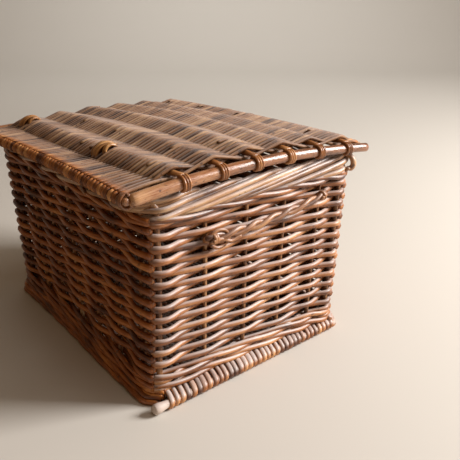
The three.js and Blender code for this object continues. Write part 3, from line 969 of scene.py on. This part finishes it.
def make_end_rods():
    count = 60
    for name, x in (("left", -LID_HALF_LENGTH), ("right", LID_HALF_LENGTH)):
        rods = Bundle()
        y = np.linspace(LID_BACK - 5.6, END_ROD_FRONT, count)
        path = np.stack([np.full(count, x), y, end_rise(x, y)], axis=1)
        path[:, 2] += waver(count, 12, 0.4)
        taper = np.linspace(*END_ROD_RADII, count) * (1 + waver(count, 7, 0.02))
        shade = np.linspace(1.1, 0.1, count)
        rods.add(lid_space(path), vec(1, 0, 0), taper, shade=shade, sides=16)
        rods.piece(f"end_rod_{name}", "lid", "rod", ROD, f"lid_end_rod_{name}")


make_outer_sticks()
make_end_rods()


def add_tail(rods, k, end):
    """The flattened tail of inner stick k, wound round the end rod."""
    x = end * LID_HALF_LENGTH
    y = stick_place(k, x)
    centre = vec(x, y - 0.5, end_rise(x, y))
    slope = -2 * arch_at(x) * y / LID_HALF_WIDTH**2  # of the end rod there
    rod_radius = np.interp(y, [-160, 150], END_ROD_RADII[::-1])
    start = vec(-end * 0.5, 0, 1)
    coil(rods, centre, vec(0, 1, slope), start, rod_radius + 1.3, 2.6 * end, 7.2 * end, 1.5, 1.6)


def make_lid_ribs():
    """Each inner stick of the lid with its two tails."""
    for k in range(STICKS):
        rods = Bundle()
        x = np.linspace(-LID_HALF_LENGTH, LID_HALF_LENGTH, 80)
        near_end = np.clip((np.abs(x) - LID_HALF_LENGTH + 16) / 12, 0, 1)
        path = [(v, stick_place(k, v), stick_height(v, stick_place(k, v))) for v in x]
        path = np.array(path) + np.outer(near_end, vec(0, 0, 0.8))
        wide, thick = LID_STICK + 1.2 * near_end, LID_STICK - 1.5 * near_end
        rods.add(lid_space(path), vec(0, 1, 0), wide, thick, chance.uniform(0.5, 0.9), sides=10)
        add_tail(rods, k, -1)
        add_tail(rods, k, 1)
        rods.piece(f"lid_rib_{k + 1}", "lid", "rod", TAIL, f"lid_stick_{k + 1}")


make_lid_ribs()

# ---- hinge loops ----
RING = 11.2  # outside radius of the CAD loop's ring round the border
BAND_GAP = 4.4  # between neighbouring bands of a loop
# a band's way over the lid's first stick: Y past it, and height over its axis
BAND_STAGES = ((-8.5, 1.5), (-4.0, 8.2), (2.5, 10.4), (9.5, 8.8), (15.0, 3.6), (17.0, -5.0))


def add_band(rods, stick, ring, shift, lift):
    """One strand of a hinge loop, from over the lid's first stick down to the ring round the border."""
    band = [stick + vec(shift + 0.12 * y, y, z + lift) for y, z in BAND_STAGES]
    band.append(vec(ring[0] + 0.5 * shift, ring[1] + 2.5, ring[2] + 11.0))
    path, _ = smooth(band, 2.0)
    rods.add(path, vec(1, 0, 0), 2.5, 1.7, chance.uniform(0.1, 0.9))


def make_hinges():
    """Golden skeins round the border, up between the weavers and round the first stick of the lid."""
    along, down = vec(1, 0, 0), vec(0, -0.5, -1)
    for node in ("hinge_loop_1", "hinge_loop_2"):
        low, high = box(node)
        x = (low[0] + high[0]) / 2
        ring = vec(x, high[1] - RING, low[2] + RING)
        y = stick_place(0, x)
        stick = lid_space(vec(x, y, stick_height(x, y)))
        rods = Bundle()
        coil(rods, ring, along, vec(0, 0.6, 1), 9.9, 2.6, 5.0, 1.6, 1.0, 24, np.asarray)
        for offset in (vec(-8.5, 2.5, 3.0), vec(8.5, 2.5, 1.5)):
            coil(rods, stick + offset, along, down, 7.6, 2.2, 4.0, 2.2, 1.8, 22, np.asarray)
        for shift, lift in ((-BAND_GAP, 0.0), (0.0, 0.8), (BAND_GAP, -0.4)):
            add_band(rods, stick, ring, shift, lift)
        rods.piece(f"skein_hinge_{node[-1]}", "lid", "skein", SKEIN, node)


make_hinges()

# ---- twisted handles ----
HANDLE_BACK, HANDLE_LENGTH = 67, 165  # place of its back end, and its length towards the front
HANDLE_HEIGHT, HANDLE_CLIMB, HANDLE_SAG = 172, 15, 3  # of its back end, to its front end, and between
HANDLE_POINTS = 90
HANDLE_TURNS = 3.4  # of its two strands round each other
SWIRL = (54, 171)  # Y and height of the middle of the knot at its back end


def handle_line(share, sign):
    """The middle line of a handle, from its back end at share 0 to its front end at 1."""
    y = HANDLE_BACK - HANDLE_LENGTH * share
    z = HANDLE_HEIGHT + HANDLE_CLIMB * share - 4 * HANDLE_SAG * share * (1 - share)
    out = 0.6 + 6.6 * np.sin(np.pi * np.clip(share, 0, 1)) ** 0.3
    return sign * (HALF_LENGTH + FLARE * z + out), y, z


def add_strand(rods, strand, sign):
    """One of the handle's two strands."""
    share = np.linspace(0, 1, HANDLE_POINTS)
    x, y, z = handle_line(share, sign)
    turn = 2 * math.pi * share * HANDLE_TURNS + math.pi * strand + waver(HANDLE_POINTS, 20, 0.5)
    twist = np.linspace(2.5, 1.9, HANDLE_POINTS)
    path = np.stack([x + sign * twist * np.cos(turn) * 0.8, y, z + twist * np.sin(turn) * 1.25], axis=1)
    rods.add(path, UP, np.linspace(3.0, 2.2, HANDLE_POINTS), shade=0.15 + 0.4 * strand)


def add_swirl(rods, sign):
    """The back end of a strand: once round the knot, across it and away along the handle."""
    y, z = SWIRL
    swirl = [(y + 12 * math.cos(t), z + 9 * math.sin(t)) for t in np.linspace(0.25, 6.0, 7)]
    swirl += [(y, z), (y - 14, z - 5), (y - 25, z - 2)]
    points = [
        (sign * (HALF_LENGTH + FLARE * z + 4.5 + 0.45 * k), y, z) for k, (y, z) in enumerate(swirl)
    ]
    path, _ = smooth(points, 2.0)
    rods.add(path, UP, 1.9, shade=0.5)


def make_handles():
    """Two strands twisted together, wound into a knot at the back and a small ring at the front."""
    for side, sign in (("left", -1), ("right", 1)):
        rods = Bundle()
        add_strand(rods, 0, sign)
        add_strand(rods, 1, sign)
        axis = vec(0, -HANDLE_LENGTH, 10)
        for share, radius, turns in ((0.045, 4.8, 2.4), (0.95, 4.2, 1.6)):
            centre = vec(*handle_line(share, sign))
            coil(rods, centre, axis, vec(sign, 0, 0), radius, turns, 5.0, 2.1, 1.6, 18, np.asarray)
        add_swirl(rods, sign)
        rods.piece(f"twisted_handle_{side}", "basket", "strand", HANDLE, f"end_handle_{side}")


make_handles()

# ---- floor, backdrop and light, in metres ----
FLOOR_NEAR, FLOOR_FAR = -2.5, 2.2  # along the camera's heading
FLOOR_HALF_WIDTH = 4.0
SWEEP = 0.8  # radius of the curve from the floor to the backdrop
BACKDROP_TOP = 3.5


def paper():
    graph = Graph("pale_paper")
    graph.feed(graph.shader, "Base Color", (0.62, 0.585, 0.53))
    graph.feed(graph.shader, "Roughness", 0.8)
    return graph.material


def make_stage():
    """A pale floor that curves up into a pale backdrop."""
    outline = [(FLOOR_NEAR, 0.0), (FLOOR_FAR, 0.0)]
    for a in np.linspace(0.1, math.pi / 2, 12):
        outline.append((FLOOR_FAR + SWEEP * math.sin(a), SWEEP - SWEEP * math.cos(a)))
    outline.append((FLOOR_FAR + SWEEP, BACKDROP_TOP))
    heading = math.radians(HEADING + 90)
    away = vec(math.cos(heading), math.sin(heading))
    across = vec(-math.sin(heading), math.cos(heading))
    points = []
    for distance, height in outline:
        for side in (-FLOOR_HALF_WIDTH, FLOOR_HALF_WIDTH):
            points.append((*(away * distance + across * side), height))
    faces = [(k, k + 1, k + 3, k + 2) for k in range(0, len(points) - 2, 2)]
    mesh = bpy.data.meshes.new("studio_floor")
    mesh.from_pydata(points, [], faces)
    mesh.polygons.foreach_set("use_smooth", [True] * len(faces))
    mesh.materials.append(paper())
    floor = bpy.data.objects.new("studio_floor", mesh)
    bpy.context.collection.objects.link(floor)


def area_light(name, place, target, size, power, colour):
    light = bpy.data.objects.new(name, bpy.data.lights.new(name, "AREA"))
    light.data.size = size
    light.data.energy = power
    light.data.color = colour
    light.location = place
    direction = Vector(target) - Vector(place)
    light.rotation_euler = direction.to_track_quat("-Z", "Y").to_euler()
    bpy.context.collection.objects.link(light)


def make_lights():
    """A window to one side, a faint glow from the ceiling, and light on the backdrop."""
    area_light("window", (-1.15, -1.5, 1.1), (0, 0, 0.12), 0.8, 79, (1.0, 0.97, 0.95))
    area_light("ceiling", (-0.5, -0.05, 1.6), (-0.05, 0, 0.2), 1.0, 4.5, (1.0, 0.93, 0.86))
    area_light("backdrop_wash", (1.5, -1.2, 1.7), (2.6, -2.1, 0.4), 1.6, 16, (0.95, 0.98, 1.0))


def make_world():
    """A warm, dim room all round."""
    world = bpy.data.worlds.new("studio")
    world.use_nodes = True
    background = world.node_tree.nodes["Background"]
    background.inputs["Color"].default_value = (1.0, 0.62, 0.3, 1)
    background.inputs["Strength"].default_value = 0.13
    bpy.context.scene.world = world


make_stage()
make_lights()
make_world()
bpy.context.scene.view_settings.view_transform = "Standard"
